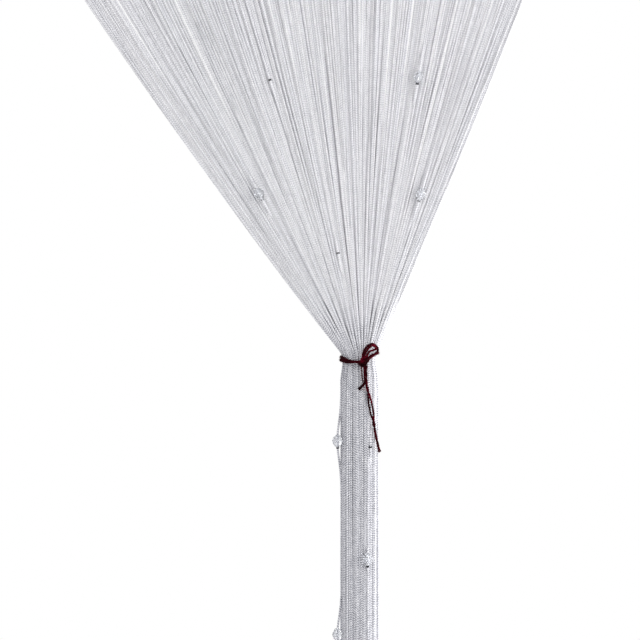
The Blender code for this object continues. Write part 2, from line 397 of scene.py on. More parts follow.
@dataclass(frozen=True)
class LooseFibre(Finish):
    """The fine fibres that stand off the yarn, paler than its body."""

    name: str = "loose_fibre"
    dark: Colour = (0.03, 0.0005, 0.003, 1.0)
    pale: Colour = (0.22, 0.006, 0.026, 1.0)

    def paint(self, sketch: Sketch, shader: bpy.types.Node) -> None:
        """Some fibres are darker than others."""
        uneven = sketch.noise(500.0, 2.0)
        colour = sketch.blend(uneven, self.dark, self.pale)
        self.cover(sketch, shader, colour, uneven * 0.2 + 0.6, Specular_IOR_Level=0.15)


@dataclass(frozen=True)
class ClearBead(Finish):
    """Clear cut glass with polished facets, a little scuffed."""

    name: str = "clear_bead"
    index: float = 1.42
    clear: Colour = (0.97, 0.98, 1.0, 1.0)
    hazy: Colour = (0.92, 0.94, 0.97, 1.0)

    def paint(self, sketch: Sketch, shader: bpy.types.Node) -> None:
        """Glass with a slight haze in patches."""
        haze = sketch.noise(300.0, 2.0)
        plain = {"Transmission_Weight": 0.82, "Alpha": 0.78, "IOR": self.index}
        self.cover(sketch, shader, sketch.blend(haze, self.clear, self.hazy), haze * 0.06 + 0.01, **plain)


@dataclass(frozen=True)
class DarkCrimp(Finish):
    """A small pressed tube of dark metal."""

    name: str = "dark_crimp"
    dark: Colour = (0.035, 0.036, 0.042, 1.0)
    rubbed: Colour = (0.16, 0.16, 0.17, 1.0)

    def paint(self, sketch: Sketch, shader: bpy.types.Node) -> None:
        """Rubbed patches on dark metal."""
        rubbed = sketch.maths("POWER", sketch.noise(900.0, 3.0), 3.0)
        colour = sketch.blend(rubbed, self.dark, self.rubbed)
        self.cover(sketch, shader, colour, rubbed * 0.3 + 0.35, Metallic=0.8)


@dataclass(frozen=True)
class PaleFloor(Finish):
    """A plain pale floor."""

    name: str = "pale_floor"
    cool: Colour = (0.90, 0.90, 0.905, 1.0)
    white: Colour = (0.94, 0.94, 0.94, 1.0)

    def paint(self, sketch: Sketch, shader: bpy.types.Node) -> None:
        """Nearly white, with a faint unevenness."""
        self.cover(sketch, shader, sketch.blend(sketch.noise(2.0, 2.0), self.cool, self.white), 0.9)


class Recipe:
    """A tree of Geometry Nodes with named inputs, which turns a guide into a plain mesh."""

    def __init__(self, name: str, inputs: dict[str, str]) -> None:
        """Begin a tree.

        Args:
            name: The tree's name.
            inputs: The type of each named input, beside the guide and the finish that every tree has.
        """
        self.tree = bpy.data.node_groups.new(name, "GeometryNodeTree")
        for label, kind in {"Guide": "Geometry", **inputs, "Finish": "Material"}.items():
            self.tree.interface.new_socket(label, in_out="INPUT", socket_type="NodeSocket" + kind)
        self.tree.interface.new_socket("Result", in_out="OUTPUT", socket_type="NodeSocketGeometry")
        self.sketch = Sketch(self.tree)
        self.start = self.sketch.node("NodeGroupInput")
        self.stop = self.sketch.node("NodeGroupOutput")

    def given(self, name: str) -> Wire:
        """One of the tree's own inputs."""
        return self.sketch.out(self.start, name)

    def named(self, name: str, kind: str = "FLOAT") -> Wire:
        """An attribute that the guide carries."""
        made = self.sketch.node("GeometryNodeInputNamedAttribute", {"Name": name}, data_type=kind)
        return self.sketch.out(made, "Attribute")

    def store(self, shape: Wire, name: str, value: Wire, kind: str = "FLOAT") -> Wire:
        """Keep a value on a shape's points under a name."""
        inputs = {"Geometry": shape, "Name": name, "Value": value}
        return self.sketch.wire("GeometryNodeStoreNamedAttribute", inputs, data_type=kind, domain="POINT")

    def lines(self) -> Wire:
        """The guide's lines as curves."""
        return self.sketch.wire("GeometryNodeMeshToCurve", {"Mesh": self.given("Guide")})

    def section(self, radius: Wire, sides: Wire | int) -> Wire:
        """A round cross-section whose points know their place round it."""
        circle = self.sketch.wire("GeometryNodeCurvePrimitiveCircle", {"Resolution": sides, "Radius": radius})
        place = self.sketch.vector("NORMALIZE", self.sketch.wire("GeometryNodeInputPosition"))
        return self.store(circle, "around", place, "FLOAT_VECTOR")

    def sweep(self, curves: Wire, radius: Wire) -> Wire:
        """A closed cord along each curve, thicker or thinner as the guide says."""
        profile = self.section(radius, self.given("Sides"))
        inputs = {"Curve": curves, "Profile Curve": profile, "Scale": self.named("thick"), "Fill Caps": True}
        return self.sketch.wire("GeometryNodeCurveToMesh", inputs)

    def align(self, axis: str, vector: Wire) -> Wire:
        """The rotation that brings an axis to a direction."""
        return self.sketch.wire("FunctionNodeAlignRotationToVector", {"Vector": vector}, axis=axis)

    def turn(self, rotation: Wire, by: Wire) -> Wire:
        """A rotation, and then another about its own axes."""
        inputs = {"Rotation": rotation, "Rotate By": by}
        return self.sketch.wire("FunctionNodeRotateRotation", inputs, rotation_space="LOCAL")

    def shape(self) -> Wire:
        """The object that the tree repeats."""
        return self.sketch.wire("GeometryNodeObjectInfo", {"Object": self.given("Shape")}, "Geometry")

    def repeat(self, points: Wire, shape: Wire, rotation: Wire, scale: object = (1.0, 1.0, 1.0)) -> Wire:
        """A shape on each point."""
        inputs = {"Points": points, "Instance": shape, "Rotation": rotation, "Scale": scale}
        return self.sketch.wire("GeometryNodeInstanceOnPoints", inputs)

    def end(self, shape: Wire, smooth: Wire | bool = True) -> "Recipe":
        """Finish the tree: instances are realized, and the material is set."""
        real = self.sketch.wire("GeometryNodeRealizeInstances", {"Geometry": shape})
        shaded = self.sketch.wire("GeometryNodeSetShadeSmooth", {"Geometry": real, "Shade Smooth": smooth})
        inputs = {"Geometry": shaded, "Material": self.given("Finish")}
        self.sketch.feed(self.stop.inputs[0], self.sketch.wire("GeometryNodeSetMaterial", inputs))
        return self

    def run(self, name: str, guide: bpy.types.Mesh, finish: Finish, **values: object) -> Piece:
        """Make a piece.

        Args:
            name: The piece's name.
            guide: The mesh that the tree starts from. It is used up.
            finish: The piece's finish.
            values: The value of each other input, named with _ for a blank.

        Returns:
            An object at the origin with a plain mesh and no modifier.
        """
        holder = bpy.data.objects.new("guide_of_" + name, guide)
        bpy.context.scene.collection.objects.link(holder)
        modifier = holder.modifiers.new("recipe", "NODES")
        modifier.node_group = self.tree
        values["Finish"] = finish.material()
        for item in self.tree.interface.items_tree:
            label = item.name.replace(" ", "_")
            if item.in_out == "INPUT" and label in values:
                modifier[item.identifier] = values[label]
        graph = bpy.context.evaluated_depsgraph_get()
        graph.update()
        mesh = bpy.data.meshes.new_from_object(
            holder.evaluated_get(graph), preserve_all_data_layers=True, depsgraph=graph
        )
        holder.modifiers.remove(modifier)
        bpy.data.objects.remove(holder)
        bpy.data.meshes.remove(guide)
        mesh.name = name
        return add_object(name, mesh)


def add_object(name: str, data: bpy.types.ID, surface: bpy.types.Material | None = None) -> Piece:
    """Put a mesh in the scene at the origin, with its material if one is given."""
    if surface is not None:
        data.materials.append(surface)
    made = bpy.data.objects.new(name, data)
    bpy.context.scene.collection.objects.link(made)
    return made


def mesh_from(bm: bmesh.types.BMesh, name: str) -> bpy.types.Mesh:
    """Turn a finished bmesh into a mesh."""
    mesh = bpy.data.meshes.new(name)
    bm.to_mesh(mesh)
    bm.free()
    return mesh


def solid_from(bm: bmesh.types.BMesh, name: str, smooth: bool = True) -> bpy.types.Mesh:
    """Turn a closed bmesh into a mesh whose faces point outwards."""
    bmesh.ops.recalc_face_normals(bm, faces=bm.faces)
    for face in bm.faces:
        face.smooth = smooth
    return mesh_from(bm, name)


def circle(count: int, wide: float, deep: float, turned: float = 0.0) -> list[Pair]:
    """Points spaced evenly round an ellipse, the first of them turned by a share of one space."""
    angles = [math.tau * (k + turned) / count for k in range(count)]
    return [(wide * math.cos(angle), deep * math.sin(angle)) for angle in angles]


def loft(name: str, rings: Sequence[Sequence[Point]], capped: bool = True) -> bpy.types.Mesh:
    """A smooth mesh over rings of points.

    Args:
        name: The mesh's name.
        rings: The rings in their order, all with the same number of points.
        capped: Whether a flat face closes each end. If not, the last ring is joined to the first.

    Returns:
        The mesh.
    """
    bm = bmesh.new()
    rows = [[bm.verts.new(point) for point in ring] for ring in rings]
    for first, second in zip(rows, rows[1:] if capped else [*rows[1:], rows[0]]):
        for k in range(len(first)):
            j = (k + 1) % len(first)
            bm.faces.new((first[k], first[j], second[j], second[k]))
    if capped:
        bm.faces.new(rows[0])
        bm.faces.new(rows[-1])
    return solid_from(bm, name)


def stitch_shape(name: str, length: float, radius: float, lean: float = 0.0) -> Piece:
    """A single stitch: a short round length of thread, sunk at both ends.

    Args:
        name: The object's name.
        length: The stitch's length along the row.
        radius: The thread's radius.
        lean: How far it leans out of the row, in radians.

    Returns:
        An object that a recipe can repeat.
    """
    rings = []
    for share in (-0.5, -0.38, 0.0, 0.38, 0.5):
        out = radius * math.sqrt(max(0.02, 1 - (2 * share) ** 4))
        rings.append([(share * length, y, z) for y, z in circle(5, out, out)])
    mesh = loft(name, rings)
    mesh.transform(Matrix.Rotation(lean, 4, "Y"))
    return add_object(name, mesh)


def declare(piece: Piece, part: Part, *nodes: str) -> Piece:
    """Let a piece ride on the curtain's one body, and say which CAD nodes it stands for.

    Args:
        piece: The finished piece.
        part: The record's slot for the piece. It is not used.
        nodes: The CAD nodes that it replaces, if any.

    Returns:
        The same piece.
    """
    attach(piece, "root")
    if nodes:
        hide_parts(*nodes)
    count = sum(len(face.vertices) - 2 for face in piece.data.polygons)
    log.info("%s: %d triangles", piece.name, count)
    return piece


def smooth_step(start: float, stop: float, value: float) -> float:
    """0 before start, 1 after stop, and a smooth rise between them."""
    share = min(1.0, max(0.0, (value - start) / (stop - start)))
    return share * share * (3.0 - 2.0 * share)


def smooth_route(route: Sequence[Vector], step: float, closed: bool = False) -> list[Vector]:
    """Points about one step apart on a smooth curve through the route's own points.

    Args:
        route: The points that the curve goes through.
        step: The distance between the new points.
        closed: Whether the curve returns to its start.

    Returns:
        The new points. A closed curve doesn't repeat its first one.
    """
    points = [Vector(p) for p in route]
    if closed:
        ends = [points[-1], *points, points[0], points[1]]
    else:
        ends = [2 * points[0] - points[1], *points, 2 * points[-1] - points[-2]]
    fine = []
    pieces = 20
    for before, start, stop, after in zip(ends, ends[1:], ends[2:], ends[3:]):
        for k in range(pieces):
            t = k / pieces
            pull = (stop - before) * t + (2 * before - 5 * start + 4 * stop - after) * t**2
            turn = (3 * start - before - 3 * stop + after) * t**3
            fine.append(start + 0.5 * (pull + turn))
    fine.append(points[0] if closed else points[-1])
    lengths = [0.0]
    for here, there in zip(fine, fine[1:]):
        lengths.append(lengths[-1] + (there - here).length)
    count = max(3, round(lengths[-1] / step))
    spaced = []
    i = 0
    for k in range(count if closed else count + 1):
        wanted = lengths[-1] * k / count
        while i < len(fine) - 2 and lengths[i + 1] < wanted:
            i += 1
        share = (wanted - lengths[i]) / max(lengths[i + 1] - lengths[i], 1e-9)
        spaced.append(fine[i].lerp(fine[i + 1], share))
    return spaced


def route_length(points: Sequence[Vector]) -> float:
    """The length of a line through points."""
    return sum((b - a).length for a, b in zip(points, points[1:]))


@dataclass
class Guide:
    """Lines of points that a recipe follows, with numbers carried on each point."""

    numbers: tuple[str, ...] = ()
    points: list[Vector] = field(default_factory=list)
    edges: list[tuple[int, int]] = field(default_factory=list)
    carried: dict[str, list[float]] = field(default_factory=dict)
    arrows: list[Vector] = field(default_factory=list)

    def add_line(self, line: Sequence[Vector], closed: bool = False, **numbers: Numbers) -> None:
        """Add one line.

        Args:
            line: Its points.
            closed: Whether it returns to its start.
            numbers: Each carried number: its value on every point, or the one value of the whole line.
        """
        first = len(self.points)
        self.points.extend(line)
        self.edges.extend((first + k, first + k + 1) for k in range(len(line) - 1))
        if closed:
            self.edges.append((first + len(line) - 1, first))
        for name in self.numbers:
            value = numbers[name]
            values = value if isinstance(value, Sequence) else [value] * len(line)
            self.carried.setdefault(name, []).extend(values)

    def add_seat(self, place: Vector, axis: Vector, **numbers: float) -> None:
        """Add one lone point with the direction of what sits there."""
        self.arrows.append(axis)
        self.add_line([place], **numbers)

    def mesh(self, name: str) -> bpy.types.Mesh:
        """The guide as a mesh of edges or of lone points."""
        made = bpy.data.meshes.new(name)
        made.from_pydata([tuple(p) for p in self.points], self.edges, [])
        for label, values in self.carried.items():
            made.attributes.new(label, "FLOAT", "POINT").data.foreach_set("value", values)
        if self.arrows:
            flat = [number for arrow in self.arrows for number in arrow]
            made.attributes.new("axis", "FLOAT_VECTOR", "POINT").data.foreach_set("vector", flat)
        return made


class Recipes:
    """The five trees that make what repeats or follows a line."""

    def __init__(self) -> None:
        """Build every tree once."""
        self.run_cord = self._run_cord()
        self.ply_yarn = self._ply_yarn()
        self.raise_fuzz = self._raise_fuzz()
        self.sew_row = self._sew_row()
        self.seat = self._seat()

    @staticmethod
    def _run_cord() -> Recipe:
        """A round cord along each of the guide's lines."""
        recipe = Recipe("run_cord", {"Radius": "Float", "Sides": "Int"})
        return recipe.end(recipe.sweep(recipe.lines(), recipe.given("Radius")))

    @staticmethod
    def _ply_yarn() -> Recipe:
        """Plies that turn round each of the guide's lines, as in a twisted yarn."""
        radii = {"Ply Radius": "Float", "Lay Radius": "Float"}
        recipe = Recipe("ply_yarn", {"Plies": "Int", **radii, "Twist Length": "Float", "Sides": "Int"})
        sketch = recipe.sketch
        inputs = {"Geometry": recipe.lines(), "Amount": recipe.given("Plies")}
        copies = sketch.node("GeometryNodeDuplicateElements", inputs, domain="SPLINE")
        phase = sketch.out(copies, "Duplicate Index") * math.tau / recipe.given("Plies")
        length = sketch.wire("GeometryNodeSplineParameter", {}, "Length")
        angle = length * math.tau / recipe.given("Twist Length") + phase
        normal = sketch.wire("GeometryNodeInputNormal")
        side = sketch.vector("CROSS_PRODUCT", sketch.wire("GeometryNodeInputTangent"), normal)
        reach = recipe.given("Lay Radius") * recipe.named("thick")
        forward = sketch.scaled(normal, sketch.maths("COSINE", angle) * reach)
        sideways = sketch.scaled(side, sketch.maths("SINE", angle) * reach)
        kept = recipe.store(sketch.out(copies, "Geometry"), "along", length)
        inputs = {"Geometry": kept, "Offset": sketch.vector("ADD", forward, sideways)}
        moved = sketch.wire("GeometryNodeSetPosition", inputs)
        return recipe.end(recipe.sweep(moved, recipe.given("Ply Radius")))

    @staticmethod
    def _raise_fuzz() -> Recipe:
        """Short bent fibres that stand on the guide's surface, each with a lean and a length of its own."""
        sizes = {"Fibre Length": "Float", "Fibre Radius": "Float"}
        recipe = Recipe("raise_fuzz", {"Density": "Float", **sizes, "Seed": "Int"})
        sketch = recipe.sketch
        inputs = {"Density": recipe.given("Density"), "Seed": recipe.given("Seed")}
        inputs["Mesh"] = recipe.given("Guide")
        spots = sketch.node("GeometryNodeDistributePointsOnFaces", inputs, distribute_method="RANDOM")
        arc = {"Start": (0.0, 0.0, -0.1), "Middle": (0.0, 0.0, 0.6), "End": (0.55, 0.0, 0.8)}
        bent = sketch.wire("GeometryNodeCurveQuadraticBezier", {"Resolution": 4, **arc})
        size = sketch.wire("ShaderNodeCombineXYZ", {i: recipe.given("Fibre Length") for i in range(3)})
        curve = sketch.wire("GeometryNodeTransform", {"Geometry": bent, "Scale": size})
        profile = recipe.section(recipe.given("Fibre Radius"), 3)
        fibre = sketch.wire("GeometryNodeCurveToMesh", {"Curve": curve, "Profile Curve": profile})
        leans = {"Min": (-0.9, -0.9, -3.1), "Max": (0.9, 0.9, 3.1), "Seed": 7}
        lean = sketch.wire("FunctionNodeRandomValue", leans, data_type="FLOAT_VECTOR")
        sizes = {"Min_001": 0.35, "Max_001": 1.0, "Seed": 11}
        grow = sketch.wire("FunctionNodeRandomValue", sizes, 1, data_type="FLOAT")
        turned = recipe.turn(sketch.out(spots, "Rotation"), lean)
        return recipe.end(recipe.repeat(sketch.out(spots, "Points"), fibre, turned, grow))

    @staticmethod
    def _sew_row() -> Recipe:
        """One shape again and again along each of the guide's lines, turned with the line."""
        recipe = Recipe("sew_row", {"Shape": "Object", "Spacing": "Float"})
        inputs = {"Curve": recipe.lines(), "Length": recipe.given("Spacing")}
        dotted = recipe.sketch.wire("GeometryNodeResampleCurve", inputs, mode="LENGTH")
        turned = recipe.align("X", recipe.sketch.wire("GeometryNodeInputTangent"))
        return recipe.end(recipe.repeat(dotted, recipe.shape(), turned))

    @staticmethod
    def _seat() -> Recipe:
        """One shape on each of the guide's lone points, upright on that point's own axis."""
        recipe = Recipe("seat", {"Shape": "Object", "Smooth": "Bool"})
        spin = recipe.sketch.wire("ShaderNodeCombineXYZ", {"Z": recipe.named("spin")})
        turned = recipe.turn(recipe.align("Z", recipe.named("axis", "FLOAT_VECTOR")), spin)
        placed = recipe.repeat(recipe.given("Guide"), recipe.shape(), turned, recipe.named("size"))
        return recipe.end(placed, smooth=recipe.given("Smooth"))

    def sew(
        self, name: str, stitch: Piece, spacing: float, half: float, rows: Iterable[Pair]
    ) -> Piece:
        """Sew straight rows of stitches along the heading.

        Args:
            name: The piece's name.
            stitch: One stitch. It is used up.
            spacing: The distance from one stitch to the next.
            half: Half the length of a row.
            rows: Each row's Y and Z.

        Returns:
            The piece.
        """
        guide = Guide()
        for y, z in rows:
            guide.add_line([Vector((-half, y, z)), Vector((half, y, z))])
        sewn = self.sew_row.run(name, guide.mesh(name), SewingThread(), Shape=stitch, Spacing=spacing)
        bpy.data.objects.remove(stitch)
        return sewn


@dataclass(frozen=True)
class Lay:
    """The curtain's own sizes and the way its strings run, as in the solids."""

    width: float = 1.0
    drop: float = 2.0
    heading: float = 0.075
    gap: float = 0.0003
    strip: float = 0.004
    tie_x: float = 0.130
    fan: float = 1.031
    bend: float = 0.008
    sag: float = 0.30

    @property
    def strip_top(self) -> float:
        """The height of the strip's upper edge."""
        return -self.heading - self.gap

    @property
    def root_z(self) -> float:
        """The height at which the strings leave the strip."""
        return self.strip_top - self.strip

    @property
    def tie(self) -> Vector:
        """The middle of the bundle at the tie."""
        return Vector((self.tie_x, 0.0, self.root_z - self.fan))

    @property
    def string_length(self) -> float:
        """The length of every string."""
        return self.drop + self.root_z

    def spread(self, height: float) -> float:
        """How far a string has come at a height above the tie: 0 in the bundle and 1 at the heading."""
        if height <= 0:
            return 0.0
        bent = height**2 / (2 * self.bend) if height < self.bend else height - self.bend / 2
        share = bent / (self.fan - self.bend / 2)
        return (1 + self.sag) * share - self.sag * share**2

    def across(self, steps: int) -> list[float]:
        """Evenly spaced places from the heading's left edge to its right one."""
        return [-self.width / 2 + self.width * i / steps for i in range(steps + 1)]


@dataclass(frozen=True)
class BeadPlace:
    """Where a bead or a lone crimp sits on a string, and how far up and down the string bends for it."""

    root: float
    down: float
    side: float = -1.0
    bead: bool = True
    edge: bool = False
    turn: float = 0.0
    crimp: float = 1.0
    reach: float = 0.018


# The beads and crimps that the photograph shows: the root's place from the tie, and the length from the root
SEEN_BEADS = (
    BeadPlace(0.162, 0.8135, crimp=0.85),
    BeadPlace(0.265, 0.925, crimp=0.74),
    BeadPlace(-0.474, 0.982, crimp=0.72),
    BeadPlace(-0.266, 0.831, bead=False, crimp=0.8),
    BeadPlace(-0.154, 0.956, bead=False, crimp=0.8),
    BeadPlace(0.262, 1.132, bead=False, crimp=0.9),
    BeadPlace(-0.629, 1.269, edge=True, crimp=0.74, reach=0.021),
    BeadPlace(0.126, 1.196, crimp=0.8),
    BeadPlace(-0.623, 1.420, edge=True),
)
# Waves over the strings' numbers that let neighbours lean together: the size, the length and the phase
CLUMP_WAVES = ((0.55, 1.9, 0.4), (0.9, 3.7, 1.1), (1.3, 7.3, 2.0))
# Low ridges along the bundle: how many there are round it, their phase, and their share of its radius
RIDGES = ((5, 0.6, 0.050), (11, 2.4, 0.035))
# The distance from one ring of a string to the next: at the tie, near it, and far from it
AT_TIE = 0.0036
NEAR_TIE = 0.011
FAR_BELOW = 0.036
FAR_ABOVE = 0.042
# How far from the tie "at" and "near" reach
AT_REACH = 0.03
NEAR_REACH = 0.30
# How far apart the columns of a close-packed bundle stand, as a share of the gap in a column
COLUMN = math.sqrt(0.75)


@dataclass
class StringRun:
    """One string: where it is rooted, its spot in the bundle, and its own small unevenness."""

    root_x: float
    spot: Pair
    tone: float
    start: float
    waves: tuple[tuple[float, float, float], ...]
    clump: float
    loose: Pair
    beads: list[BeadPlace] = field(default_factory=list)


@dataclass
class Fringe:
    """The strings, the knitted strip that they hang from, and the beads on them.

    The bundle's radius is "pinched" at the tie and "bundle" below it, and it grows over "swell". Above the
    tie the fan keeps the share "flat" of its depth, from "flatten" on. The sizes called wander, clump and
    loose say how far a string leaves its line. "in_photo" and "at_tie" are two lengths along a string each.
    """

    lay: Lay
    recipes: Recipes
    count: int = 340
    radius: float = 0.00086
    sides: int = 8
    pieces: int = 3
    jitter: float = 0.12
    pinched: float = 0.0126
    bundle: float = 0.0145
    swell: float = 0.018
    flat: float = 0.12
    flatten: float = 0.06
    pinched_thickness: float = 0.76
    free_thickness: float = 0.17
    fan_wander: Pair = (0.00016, 0.00035)
    fan_clump: float = 0.00042
    fan_loose: float = 0.00040
    bundle_wander: float = 0.00010
    end_loose: float = 0.0016
    seed: int = 23
    bead_radius: float = 0.0041
    bead_height: float = 0.0098
    bead_sides: int = 8
    edge_y: float = -0.0076
    crimp_gap: float = 0.0007
    bead_rows: float = 0.118
    first_row: float = 0.085
    row_beads: int = 5
    stray: Pair = (0.03, 0.015)
    in_photo: Pair = (0.62, 1.50)
    at_tie: Pair = (1.005, 1.095)
    strings: list[StringRun] = field(default_factory=list)

    def __post_init__(self) -> None:
        """Lay out every string."""
        rng = random.Random(self.seed)
        pitch = self.lay.width / self.count
        for number, spot in enumerate(self._spots(rng)):
            waves = []
            for _ in range(3):
                waves.append((rng.uniform(0.10, 0.45), rng.uniform(0, math.tau), rng.uniform(0.4, 1.0)))
            run = StringRun(
                root_x=-self.lay.width / 2 + (number + 0.5) * pitch,
                spot=spot,
                tone=rng.random(),
                start=rng.uniform(0.0, math.tau),
                waves=tuple(waves),
                clump=sum(size * math.sin(number / length + phase) for size, length, phase in CLUMP_WAVES),
                loose=(rng.gauss(0.0, 1.0), rng.gauss(0.0, 1.0)),
            )
            self.strings.append(run)
        self._hang_beads(rng)

    def _spots(self, rng: random.Random) -> list[Pair]:
        """Places in a close-packed round bundle of radius 1, from the left, each column's depths mixed."""
        row_gap = math.sqrt(math.pi / (self.count * COLUMN))
        reach = math.ceil(1.3 / row_gap)
        spots = []
        for column in range(-reach, reach + 1):
            for row in range(-reach, reach + 1):
                spots.append((column * row_gap * COLUMN, (row + 0.5 * (column % 2)) * row_gap))
        spots.sort(key=lambda spot: (round(spot[0] ** 2 + spot[1] ** 2, 9), spot))
        kept = spots[: self.count]
        largest = math.hypot(*kept[-1])
        kept = sorted((x / largest, y / largest) for x, y in kept)
        order = sorted(range(self.count), key=lambda i: (round(kept[i][0], 6), rng.random()))
        jitter = self.jitter * row_gap
        return [tuple(part + rng.uniform(-jitter, jitter) for part in kept[i]) for i in order]

    def _hang_beads(self, rng: random.Random) -> None:
        """Give the strings their beads: the seen ones, and the others in staggered rows on the far side."""
        for place in SEEN_BEADS:
            self._nearest(self.lay.tie_x + place.root).beads.append(place)
        half = self.lay.width / 2
        gap = self.lay.width / (self.row_beads + 0.5)
        aside, along = self.stray
        for row in range(int((self.lay.string_length - 0.06) / self.bead_rows)):
            down = self.first_row + row * self.bead_rows
            covered = self.at_tie[0] < down < self.at_tie[1]
            shown = self.in_photo[0] <= down <= self.in_photo[1]
            for k in range(self.row_beads):
                root = -half + (k + 0.5 + 0.5 * (row % 2)) * gap + rng.uniform(-aside, aside)
                if root >= half or covered:
                    continue
                side = 1.0 if shown else rng.choice((-1.0, 1.0))
                string = self._nearest(root)
                if not string.beads:
                    place = down + rng.uniform(-along, along)
                    string.beads.append(BeadPlace(root, place, side=side, turn=rng.uniform(0, math.tau)))

    def _nearest(self, x: float) -> StringRun:
        """The string rooted nearest to a place along the heading."""
        return min(self.strings, key=lambda string: abs(string.root_x - x))

    @staticmethod
    def _gap(height: float) -> float:
        """From a string's ring to its next, closer together where the string bends or is seen closely."""
        if height > NEAR_REACH:
            return min(FAR_ABOVE, max(0.012, height - 0.29))
        if abs(height) < AT_REACH:
            return AT_TIE
        return NEAR_TIE if height > -NEAR_REACH else FAR_BELOW

    def levels(self) -> list[float]:
        """Heights above the tie at which a string has a ring."""
        heights = [self.lay.fan]
        lowest = -(self.lay.string_length - self.lay.fan) - 0.01
        while heights[-1] - self._gap(heights[-1]) > lowest:
            heights.append(heights[-1] - self._gap(heights[-1]))
        return heights

    def _depth(self, height: float) -> float:
        """The share of the bundle's depth that is left at a height above the tie."""
        return 1 - (1 - self.flat) * smooth_step(0.0, self.flatten, height)

    def _reach(self, string: StringRun, height: float) -> float:
        """The bundle's radius on a string's side: pinched at the tie, and with low ridges below it."""
        if height > 0:
            return self.pinched
        radius = self.pinched + (self.bundle - self.pinched) * smooth_step(0.0, self.swell, -height)
        angle = math.atan2(string.spot[1], string.spot[0])
        ridge = sum(size * math.sin(count * angle + phase) for count, phase, size in RIDGES)
        return radius * (1 + ridge * smooth_step(0.0, 0.05, -height))

    def middle(self, string: StringRun, height: float) -> Vector:
        """The middle of a string at a height above the tie, before its beads pull at it."""
        lay = self.lay
        share = lay.spread(height)
        radius = self._reach(string, height)
        x = (string.root_x - lay.tie_x) * share + string.spot[0] * radius * (1 - share)
        y = string.spot[1] * radius * (1 - share) * self._depth(height)
        wander = sum(size * math.sin(math.tau * height / wave + phase) for wave, phase, size in string.waves)
        if height > 0:
            still = smooth_step(0.0, 0.09, height) * smooth_step(0.0, 0.12, lay.fan - height)
            uneven = self.fan_clump * string.clump + self.fan_loose * string.loose[0]
            x += still * (self.fan_wander[0] * wander + uneven * smooth_step(0.02, 0.2, height))
            y += still * self.fan_wander[1] * wander
        else:
            still = smooth_step(0.0, 0.06, -height) * self.bundle_wander
            free = smooth_step(0.35, 0.95, -height) * self.end_loose
            x += still * wander + free * string.loose[0]
            y += still * wander + free * string.loose[1]
        return lay.tie + Vector((x, y, height))

    def _front(self, place: Vector, side: float) -> float:
        """How far forward or back a bead has to stand to lie on the strings and not in them."""
        # The fan's front falls off towards both of its edges, and the bundle's front is round
        height = place.z - self.lay.tie.z
        clear = self.radius + self.bead_radius * 0.92
        aside = abs(place.x - self.lay.tie_x)
        if height > 0:
            spread = self.lay.spread(height)
            depth = self.pinched * (1 - spread) * self._depth(height) + clear
            across = min(1.0, aside / max(0.02, 0.63 * spread + 0.0125))
            return side * depth * math.sqrt(max(0.15, 1 - 0.8 * across**4))
        depth = self.bundle + clear
        return side * depth * math.sqrt(1 - min(0.99, aside / depth) ** 2)

    def line(self, string: StringRun) -> tuple[list[Vector], list[float]]:
        """A string's points from its root to its end, and the length to each."""
        points = [self.middle(string, self.lay.fan)]
        lengths = [0.0]
        for height in self.levels()[1:]:
            point = self.middle(string, height)
            step = (point - points[-1]).length
            left = self.lay.string_length - lengths[-1]
            points.append(points[-1].lerp(point, left / step) if step > left else point)
            lengths.append(lengths[-1] + min(step, left))
            if step > left:
                break
        for place in string.beads:
            self._refine(points, lengths, place)
            self._pull(points, lengths, place)
        return points, lengths

    def _thickness(self, string: StringRun, height: float) -> float:
        """How thick a string is at a height above the tie, as a share: least at the tie, most above it."""
        free = smooth_step(0.0, 0.02, abs(height))
        above = 0.17 * smooth_step(0.0, 0.03, height) - 0.08 * smooth_step(0.12, 0.28, height)
        own = 1.0 + 0.16 * (string.tone - 0.5) * free
        return own * (self.pinched_thickness + self.free_thickness * free + above)

    @staticmethod
    def _on_line(points: list[Vector], lengths: list[float], down: float) -> tuple[Vector, Vector]:
        """The point at a length from a string's root, and the string's upward direction there."""
        i = max(k for k, length in enumerate(lengths) if length <= down)
        i = min(i, len(points) - 2)
        share = (down - lengths[i]) / max(1e-9, lengths[i + 1] - lengths[i])
        return points[i].lerp(points[i + 1], share), (points[i] - points[i + 1]).normalized()

    def _refine(self, points: list[Vector], lengths: list[float], place: BeadPlace) -> None:
        """Add points to a string near a bead, so that it can bend there."""
        for step in range(-4, 5):
            down = place.down + step * place.reach * 0.4
            if 0.01 < down < self.lay.string_length - 0.01:
                point, _ = self._on_line(points, lengths, down)
                i = bisect_left(lengths, down)
                points.insert(i, point)
                lengths.insert(i, down)

    def _pull(self, points: list[Vector], lengths: list[float], place: BeadPlace) -> None:
        """Bring a string out to the outer face, or to the bundle's left edge, where it carries a bead."""
        at = min(range(len(lengths)), key=lambda i: abs(lengths[i] - place.down))
        if place.edge:
            left = self.lay.tie_x - (self.bundle + self.radius + self.bead_radius * 0.50)
            shift = Vector((left - points[at].x, self.edge_y - points[at].y, 0.0))
        else:
            sunk = 0.0 if place.bead else place.side * self.bead_radius * 0.75
            shift = Vector((0.0, self._front(points[at], place.side) - sunk - points[at].y, 0.0))
        for i, length in enumerate(lengths):
            fade = math.exp(-(((length - lengths[at]) / place.reach) ** 2))
            away = smooth_step(0.002, 0.03, abs(points[i].z - self.lay.tie.z))
            points[i] = points[i] + shift * fade * away

